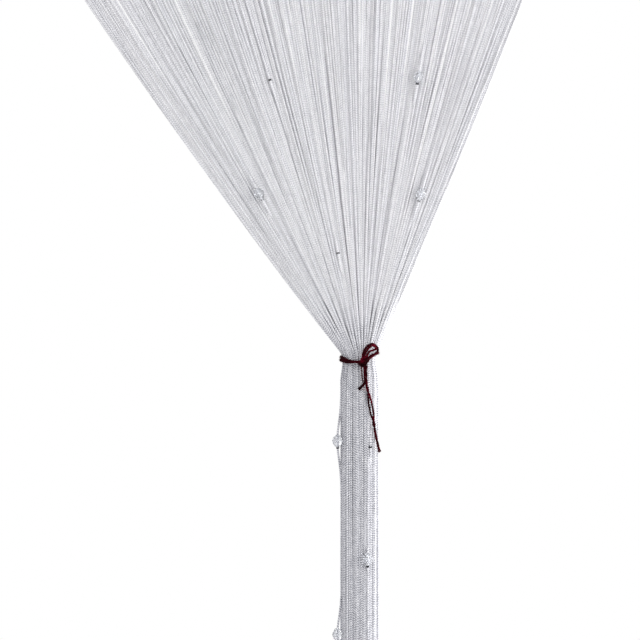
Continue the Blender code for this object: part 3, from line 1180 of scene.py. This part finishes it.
    def make_strings(self) -> None:
        """The strings, as a few joined pieces side by side."""
        share = math.ceil(self.count / self.pieces)
        for piece in range(self.pieces):
            guide = Guide(numbers=("along", "tone", "start", "slack", "thick"))
            for string in self.strings[piece * share : (piece + 1) * share]:
                points, lengths = self.line(string)
                heights = [point.z - self.lay.tie.z for point in points]
                guide.add_line(
                    points,
                    along=lengths,
                    tone=string.tone,
                    start=string.start,
                    # 1 in the bundle and 0 in the fan: how much of the bundle's painted shade a point gets
                    slack=[1 - smooth_step(-0.01, 0.05, height) for height in heights],
                    thick=[self._thickness(string, height) for height in heights],
                )
            name = f"strings_{piece + 1}"
            sizes = {"Radius": self.radius, "Sides": self.sides}
            strings = self.recipes.run_cord.run(name, guide.mesh(name), KnittedString(), **sizes)
            declare(strings, Part.STRING, "string_fringe")

    def make_strip(self) -> None:
        """The knitted strip over the roots: a rounded band, and two rows of loops along each face of it."""
        lay = self.lay
        centre = lay.strip_top - lay.strip / 2
        even = circle(12, 1.0, 1.0)
        squarer = [[math.copysign(abs(part) ** 0.6, part) for part in point] for point in even]
        section = [(0.00065 * y, centre + z * lay.strip / 2) for y, z in squarer]
        mesh = loft("strip_band", [[(x, y, z) for y, z in section] for x in lay.across(200)])
        layer = mesh.uv_layers.new(name="weave")
        for loop in mesh.loops:
            place = mesh.vertices[loop.vertex_index].co
            layer.data[loop.index].uv = (place.x, place.z)
        declare(add_object("strip_band", mesh, WovenTape().material()), Part.STRING, "string_fringe")
        loop_shape = stitch_shape("loop_shape", length=0.0017, radius=0.00034, lean=0.9)
        rows = [(y, centre + z) for y in (-0.00072, 0.00072) for z in (0.0009, -0.0009)]
        half = lay.width / 2 - 0.001
        loops = self.recipes.sew("strip_loops", loop_shape, spacing=0.0021, half=half, rows=rows)
        declare(loops, Part.STRING, "string_fringe")

    def make_beads(self) -> None:
        """The beads, and the crimp below each of them."""
        beads = Guide(numbers=("spin", "size"))
        crimps = Guide(numbers=("spin", "size"))
        for string in self.strings:
            if string.beads:
                points, lengths = self.line(string)
                for place in string.beads:
                    self._seat(points, lengths, place, beads, crimps)
        for name, shape, seats, finish, part in (
            ("beads", self._bead_shape(), beads, ClearBead(), Part.BEAD),
            ("crimps", self._crimp_shape(), crimps, DarkCrimp(), Part.CRIMP),
        ):
            smooth = part is Part.CRIMP
            declare(self.recipes.seat.run(name, seats.mesh(name), finish, Shape=shape, Smooth=smooth), part)
            bpy.data.objects.remove(shape)

    def _seat(
        self, points: list[Vector], lengths: list[float], place: BeadPlace, beads: Guide, crimps: Guide
    ) -> None:
        """Add the seats of one bead and its crimp to the guides."""
        middle, axis = self._on_line(points, lengths, place.down)
        if place.bead:
            half = self.bead_height / 2
            above, _ = self._on_line(points, lengths, place.down - half)
            below, _ = self._on_line(points, lengths, place.down + half)
            beads.add_seat(middle, (above - below).normalized(), spin=place.turn + 0.3, size=1.0)
            middle, axis = self._on_line(points, lengths, place.down + half + self.crimp_gap)
        crimps.add_seat(middle, axis, spin=place.turn, size=place.crimp)

    def _bead_shape(self) -> Piece:
        """A bead with flat three-cornered facets and a hole along its axis."""
        sides = self.bead_sides
        # share of the radius, share of the half height, and the share of a side that the ring is turned by
        upper = ((0.24, 1.0, 0.0), (0.50, 0.93, 0.5), (0.88, 0.45, 0.0))
        profile = [*upper, (1.0, 0.0, 0.5), *((out, -up, turned) for out, up, turned in reversed(upper))]
        bm = bmesh.new()
        rings = []
        for share, up, turned in profile:
            out = self.bead_radius * share
            height = self.bead_height / 2 * up
            rings.append([bm.verts.new((x, y, height)) for x, y in circle(sides, out, out, turned)])
        for above, below, (_, _, turned) in zip(rings, rings[1:], profile):
            for k in range(sides):
                j = (k + 1) % sides
                bm.faces.new((above[k], above[j], below[j if turned else k]))
                bm.faces.new((above[k if turned else j], below[j], below[k]))
        for k in range(sides):
            j = (k + 1) % sides
            bm.faces.new((rings[0][k], rings[0][j], rings[-1][j], rings[-1][k]))
        return add_object("bead_shape", solid_from(bm, "bead_shape", smooth=False))

    @staticmethod
    def _crimp_shape() -> Piece:
        """A short tube with a waist where it was pressed."""
        # height and radius
        upper = ((0.0008, 0.00095), (0.0008, 0.00135), (0.0004, 0.00150))
        profile = [*upper, (0.0, 0.00128), *((-up, out) for up, out in reversed(upper))]
        rings = [[(x, y, up) for x, y in circle(12, out * 1.12, out * 0.85)] for up, out in profile]
        return add_object("crimp_shape", loft("crimp_shape", rings, capped=False))


@dataclass
class Heading:
    """The woven tape, folded over into a rod pocket and sewn to itself below it."""

    lay: Lay
    recipes: Recipes
    thickness: float = 0.0012
    pocket: float = 0.0125
    seam: float = 0.030
    clear: float = 0.00002
    arc_steps: int = 36
    side_steps: int = 160

    def outline(self) -> list[Pair]:
        """The middle of the tape's thickness as (y, z) pairs, from its front lower edge over to the back."""
        half_angle = math.asin(self.pocket / self.seam)
        centre = -self.thickness - self.pocket
        radius = self.pocket + self.thickness / 2
        seam_z = centre - self.seam
        layer = self.thickness / 2 + self.clear
        front = [(-layer, -self.lay.heading + (seam_z + self.lay.heading) * k / 10) for k in range(11)]
        start = math.pi + half_angle
        stop = -half_angle
        arc = []
        for k in range(self.arc_steps + 1):
            angle = start + (stop - start) * k / self.arc_steps
            arc.append((radius * math.cos(angle), centre + radius * math.sin(angle)))
        wide, high = arc[0]
        slope = [(-layer + (wide + layer) * k / 8, seam_z + (high - seam_z) * k / 8) for k in range(1, 8)]
        back = [(-y, z) for y, z in reversed([*front, *slope])]
        return [*front, *slope, *arc, *back]

    def make(self) -> None:
        """The tape as one sheet with its own thickness, and its seams."""
        lay = self.lay
        outline = self.outline()
        run = [0.0]
        for (y0, z0), (y1, z1) in zip(outline, outline[1:]):
            run.append(run[-1] + math.hypot(y1 - y0, z1 - z0))
        bm = bmesh.new()
        layer = bm.loops.layers.uv.new("weave")
        rows = [[bm.verts.new((x, y, z)) for y, z in outline] for x in lay.across(self.side_steps)]
        for i, (left, right) in enumerate(zip(rows, rows[1:])):
            for k in range(len(outline) - 1):
                face = bm.faces.new((left[k], right[k], right[k + 1], left[k + 1]))
                for loop, (step, place) in zip(face.loops, ((0, k), (1, k), (1, k + 1), (0, k + 1))):
                    loop[layer].uv = (lay.width * (i + step) / self.side_steps, run[place])
                face.smooth = True
        tape = add_object("heading_tape", mesh_from(bm, "heading_tape"), WovenTape().material())
        solid = tape.modifiers.new("thickness", "SOLIDIFY")
        solid.thickness = self.thickness - 0.0001
        solid.offset = 0.0
        declare(tape, Part.TAPE, "heading_band")
        seams = self._seams()
        log.info("heading tape: flat %.3f by %.3f m", lay.width, run[-1])

    def _seams(self) -> Piece:
        """Three rows of stitches on each face: two below the pocket, and one above the lower edge."""
        seam_z = -self.thickness - self.pocket - self.seam
        face = self.thickness + self.clear
        heights = (seam_z - 0.004, seam_z - 0.007, -self.lay.heading + 0.004)
        rows = [(y, z) for y in (-face, face) for z in heights]
        stitch = stitch_shape("stitch_shape", length=0.0026, radius=0.00028)
        half = self.lay.width / 2 - 0.004
        seams = self.recipes.sew("heading_seams", stitch, spacing=0.0034, half=half, rows=rows)
        return declare(seams, Part.TAPE)


@dataclass
class Tie:
    """The crimson yarn: two turns round the bundle, a knot, a bow loop and two ends."""

    lay: Lay
    recipes: Recipes
    radius: float = 0.00085
    turns: float = 0.0143
    knot_angle: float = math.radians(-50)
    far_gap: float = 0.00083
    knot_gap: float = 0.00075
    lift: float = 0.0007
    step: float = 0.00034
    twist: float = 0.0040

    def path(self, points: Iterable[Point]) -> list[Vector]:
        """Points given from the middle of the bundle at the tie."""
        return [self.lay.tie + Vector(point) for point in points]

    def _turn_route(self) -> list[Vector]:
        """Two turns side by side, apart on the far side from the knot and one over the other at it."""
        route = []
        steps = 96
        for k in range(steps + 1):
            angle = self.knot_angle + 2 * math.tau * k / steps
            facing = math.cos(angle - self.knot_angle)
            first = 1.0 - 2.0 * smooth_step(0.46, 0.54, k / steps)
            apart = self.far_gap - self.knot_gap * facing
            over = 0.5 * (1 + facing) * self.lift * (1 - first)
            across = math.cos(angle)
            deep = math.sin(angle)
            rise = 0.0037 * across**2 + 0.0025 * across - 0.0009 * deep**2
            wander = 0.00014 * math.sin(5.0 * angle + 1.3 * first) + 0.0001 * math.sin(9.0 * angle)
            reach = self.turns + over + 0.5 * wander
            route.append((reach * across, reach * deep, rise + apart * first + wander))
        return self.path(route)

    def _knot_loops(self) -> list[list[Vector]]:
        """The closed wraps of the knot, each round an ellipse of its own tilt."""
        wraps = (
            # middle, half width, half depth, half height, lean to the side
            ((0.0026, -0.0168, -0.0011), 0.0028, 0.0014, 0.0005, 0.30),
            ((0.0026, -0.0169, -0.0026), 0.0031, 0.0015, 0.0005, -0.16),
            ((0.0029, -0.0168, -0.0041), 0.0028, 0.0014, 0.0006, -0.34),
            ((0.0020, -0.0170, 0.0005), 0.0018, 0.0013, 0.0010, 0.75),
            ((0.0045, -0.0171, -0.0022), 0.0011, 0.0012, 0.0029, -0.20),
            ((0.0068, -0.0164, 0.0004), 0.0010, 0.0011, 0.0013, 0.20),
        )
        loops = []
        for (x, y, z), wide, deep, high, lean in wraps:
            loop = []
            for k in range(12):
                angle = math.tau * k / 12
                across = wide * math.cos(angle)
                up = high * math.sin(angle + 0.8)
                aside = across * math.cos(lean) - up * math.sin(lean)
                rise = across * math.sin(lean) + up * math.cos(lean)
                loop.append((x + aside, y - deep * math.sin(angle), z + rise))
            loops.append(self.path(loop))
        return loops

    def _bow_routes(self) -> list[list[Vector]]:
        """The bow's outer strand, and the inner strand that crosses it."""
        outer = (
            (0.0030, -0.0160, 0.0004),
            (0.0028, -0.0168, 0.0046),
            (0.0054, -0.0173, 0.0104),
            (0.0104, -0.0177, 0.0130),
            (0.0142, -0.0174, 0.0098),
            (0.0138, -0.0170, 0.0060),
            (0.0096, -0.0168, 0.0038),
            (0.0052, -0.0164, 0.0008),
        )
        inner = (
            (0.0038, -0.0170, 0.0008),
            (0.0042, -0.0180, 0.0044),
            (0.0068, -0.0188, 0.0092),
            (0.0101, -0.0190, 0.0118),
            (0.0126, -0.0188, 0.0106),
            (0.0130, -0.0186, 0.0090),
            (0.0108, -0.0184, 0.0082),
            (0.0076, -0.0182, 0.0066),
            (0.0052, -0.0174, 0.0024),
        )
        return [self.path(outer), self.path(inner)]

    def _short_routes(self) -> list[list[Vector]]:
        """Two thin strands below the knot, the thick frayed end and the curl of fibre that leaves it."""
        left = (
            (0.0016, -0.0160, -0.0040),
            (0.0018, -0.0164, -0.0090),
            (0.0023, -0.0165, -0.0150),
            (0.0040, -0.0166, -0.0180),
        )
        right = (
            (0.0034, -0.0162, -0.0040),
            (0.0038, -0.0166, -0.0090),
            (0.0039, -0.0167, -0.0140),
            (0.0044, -0.0167, -0.0176),
        )
        end = (
            (0.0046, -0.0166, -0.0172),
            (0.0036, -0.0168, -0.0188),
            (0.0018, -0.0169, -0.0206),
            (-0.0006, -0.0170, -0.0230),
        )
        curl = (
            (0.0006, -0.0168, -0.0218),
            (0.0018, -0.0170, -0.0230),
            (0.0032, -0.0171, -0.0226),
            (0.0036, -0.0171, -0.0240),
        )
        return [self.path(route) for route in (left, right, end, curl)]

    def _guide(self, routes: Iterable[Sequence[Vector]], looks: Iterable[Pair], closed: bool) -> Guide:
        """Smooth lines for the yarn recipe, each with how thick it looks and how much painted light it gets.
        """
        guide = Guide(numbers=("thick", "worn"))
        for route, (thick, worn) in zip(routes, looks):
            guide.add_line(smooth_route(route, self.step, closed), closed, thick=thick, worn=worn)
        return guide

    def ply(self, name: str, guide: Guide, plies: int = 3) -> Piece:
        """Yarn of a few plies along a guide."""
        share = 0.52 if plies == 2 else 0.50
        values = {
            "Plies": plies,
            "Ply_Radius": self.radius * share,
            "Lay_Radius": self.radius * (1 - share),
            "Twist_Length": self.twist,
            "Sides": 7,
        }
        return self.recipes.ply_yarn.run(name, guide.mesh(name), CrimsonYarn(), **values)

    def fuzz(self, name: str, pieces: Sequence[Piece], length: float, density: float) -> Piece:
        """Fine fibres that stand off the yarn."""
        bm = bmesh.new()
        for piece in pieces:
            bm.from_mesh(piece.data)
        sizes = {"Density": density, "Fibre_Length": length, "Fibre_Radius": 0.00004, "Seed": 5}
        return self.recipes.raise_fuzz.run(name, mesh_from(bm, name), LooseFibre(), **sizes)

    def make(self) -> None:
        """Every piece of the tied yarn but its long end."""
        turns = self._guide([self._turn_route()], [(1.0, 1.0)], closed=False)
        left = self.lay.tie_x - 0.5 * self.turns
        near_knot = [smooth_step(left - 0.004, left + 0.006, point.x) for point in turns.points]
        # painted shade on the turns at the bundle's left side, away from the knot
        turns.carried["worn"] = [0.15 + 0.85 * share for share in near_knot]
        turns.carried["thick"] = [1.0 + 0.42 * (1 - share) for share in near_knot]
        # each line's thickness and painted light: the knot's lower wraps and the thick frayed end get little,
        # as painted shade
        wraps = [(0.94, worn) for worn in (0.8, 0.35, 0.1, 0.9, 0.15, 0.6)]
        knot = self._guide(self._knot_loops(), wraps, closed=True)
        bow = self._guide(self._bow_routes(), [(1.25, 0.7), (1.10, 1.0)], closed=False)
        strands = [(0.60, 1.0), (0.85, 0.7), (1.55, 0.12), (0.26, 1.0)]
        short = self._guide(self._short_routes(), strands, closed=False)
        made = [self.ply("tie_turns", turns), self.ply("tie_knot", knot), self.ply("tie_bow", bow)]
        made.append(self.ply("tie_short_end", short, plies=2))
        made.append(self.fuzz("tie_fuzz", made, length=0.0014, density=1.0e6))
        for piece in made:
            declare(piece, Part.YARN, "tie_yarn")


@dataclass
class LongEnd:
    """The yarn's long free end, whose two strands part and meet again at a small knot."""

    tie: Tie
    route: tuple[Point, ...] = (
        (0.0051, -0.0164, -0.0056),
        (0.0053, -0.0166, -0.0120),
        (0.0056, -0.0164, -0.0190),
        (0.0069, -0.0160, -0.0250),
        (0.0084, -0.0153, -0.0330),
        (0.0099, -0.0145, -0.0410),
        (0.0112, -0.0136, -0.0480),
        (0.0124, -0.0124, -0.0560),
        (0.0140, -0.0109, -0.0640),
        (0.0160, -0.0092, -0.0720),
    )
    apart: float = 0.0012
    together: float = 0.00036
    knots: tuple[Pair, ...] = ((1.0, 0.0009), (0.66, 0.0010))

    def make(self) -> None:
        """The long end as one declared cord."""
        tie = self.tie
        centre = smooth_route(tie.path(self.route), 0.0010)
        guide = Guide(numbers=("thick", "worn"))
        for side in (-1.0, 1.0):
            strand = smooth_route(self._strand(centre, side), tie.step)
            # one strand gets more painted light than the other
            guide.add_line(strand, thick=self._thickness(strand), worn=0.55 + 0.3 * side)
        for share, size in self.knots:
            middle = centre[min(round(len(centre) * share), len(centre) - 1)]
            loop = [middle + Vector((x, 0.0006 * up, size * up)) for x, up in circle(8, size, 1.0)]
            # the small knots get painted light
            guide.add_line(smooth_route(loop, tie.step, True), True, thick=0.70, worn=0.9)
        yarn = tie.ply("tie_tail", guide, plies=2)
        fuzz = tie.fuzz("tie_tail_fuzz", [yarn], length=0.0010, density=0.8e6)
        declare(yarn, Part.YARN, "tie_long_end")
        declare(fuzz, Part.YARN, "tie_long_end")
        length = route_length(centre)
        log.info("long end: %.3f m", length)

    @staticmethod
    def _thickness(strand: Sequence[Vector]) -> list[float]:
        """How thick a strand is on each of its points: a little less where it is parted from the other."""
        total = route_length(strand)
        gone = 0.0
        thick = []
        for before, here in zip([strand[0], *strand], strand):
            gone += (here - before).length
            share = gone / total
            thick.append(1.12 - 0.06 * smooth_step(0.25, 0.4, share) + 0.12 * smooth_step(0.60, 0.70, share))
        return thick

    def _strand(self, centre: list[Vector], side: float) -> list[Vector]:
        """One of the two strands: beside the other, apart above the small knot, and together below it."""
        line = []
        for i, point in enumerate(centre):
            share = i / (len(centre) - 1)
            parted = smooth_step(0.27, 0.42, share) * (1 - smooth_step(0.55, 0.665, share))
            turning = math.tau * share * 6.0
            close = self.together * (1 - parted) * (1 - 0.4 * smooth_step(0.66, 0.75, share))
            offset = Vector((close * math.cos(turning), close * math.sin(turning), 0.0)) * side
            line.append(point + offset + Vector((self.apart * parted * side, 0.0, 0.0)))
        return line[::2]


@dataclass
class Studio:
    """The camera, the light and the floor."""

    lay: Lay
    pixel: float = 0.0008
    pixels: int = 640
    tie_pixel: tuple[int, int] = (359, 360)
    distance: float = 1.6
    sensor: float = 36.0
    floor_radius: float = 3.6
    floor_z: float = -2.05

    def place_camera(self) -> None:
        """A level camera in front of the tie, at the photograph's framing."""
        data = bpy.data.cameras.new("camera")
        data.sensor_width = self.sensor
        data.lens = self.sensor * self.distance / (self.pixels * self.pixel)
        data.clip_start = 0.05
        data.clip_end = 50.0
        camera = bpy.data.objects.new("camera", data)
        across, down = (self.pixels // 2 - place for place in self.tie_pixel)
        x = self.lay.tie_x + across * self.pixel
        z = self.lay.tie.z - down * self.pixel
        camera.location = (x, -self.distance, z)
        camera.rotation_euler = (math.pi / 2, 0.0, 0.0)
        bpy.context.scene.collection.objects.link(camera)
        bpy.context.scene.camera = camera

    def light(self) -> None:
        """White surroundings, and soft lights from the right in front, from the right and from behind."""
        world = bpy.data.worlds.new("studio")
        bpy.context.scene.world = world
        world.use_nodes = True
        world.node_tree.nodes.clear()
        sketch = Sketch(world.node_tree)
        seen = sketch.wire("ShaderNodeBackground", {"Color": (1.0, 1.0, 1.0, 1.0), "Strength": 1.0})
        soft = sketch.wire("ShaderNodeBackground", {"Color": (0.977, 0.978, 1.0, 1.0), "Strength": 0.76})
        by_camera = sketch.wire("ShaderNodeLightPath", {}, "Is Camera Ray")
        mixed = sketch.wire("ShaderNodeMixShader", {0: by_camera, 1: soft, 2: seen})
        sketch.node("ShaderNodeOutputWorld", {"Surface": mixed})
        tie_x = self.lay.tie_x
        self._area("key_light", (1.9, -1.7, -0.6), (tie_x, 0.0, -1.05), size=1.5, power=20.0)
        self._area("side_light", (2.3, 0.5, -0.9), (tie_x, 0.0, -1.15), size=1.2, power=50.0)
        self._area("back_light", (-1.4, 2.0, -0.3), (0.0, 0.0, -1.0), size=1.6, power=12.0)
        bpy.context.scene.view_settings.view_transform = "Standard"

    @staticmethod
    def _area(name: str, place: Point, aim: Point, size: float, power: float) -> None:
        """A square area light."""
        data = bpy.data.lights.new(name, "AREA")
        data.size = size
        data.energy = power
        lamp = bpy.data.objects.new(name, data)
        lamp.location = place
        lamp.rotation_euler = (Vector(aim) - Vector(place)).to_track_quat("-Z", "Y").to_euler()
        bpy.context.scene.collection.objects.link(lamp)

    def lay_floor(self) -> None:
        """A round floor below the strings' ends."""
        bm = bmesh.new()
        bmesh.ops.create_circle(bm, cap_ends=True, segments=96, radius=self.floor_radius)
        bmesh.ops.translate(bm, verts=bm.verts, vec=(0.0, 0.0, self.floor_z))
        mesh = mesh_from(bm, "floor")
        add_object("floor", mesh, PaleFloor().material())


def main() -> None:
    """Build the curtain and its studio."""
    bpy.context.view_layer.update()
    lay = Lay()
    recipes = Recipes()
    studio = Studio(lay)
    studio.place_camera()
    tie = Tie(lay, recipes)
    LongEnd(tie).make()
    tie.make()
    fringe = Fringe(lay, recipes)
    fringe.make_strings()
    fringe.make_strip()
    fringe.make_beads()
    Heading(lay, recipes).make()
    studio.light()
    studio.lay_floor()


if __name__ == "__main__":
    logging.basicConfig(level=logging.INFO, format="%(message)s")
    main()
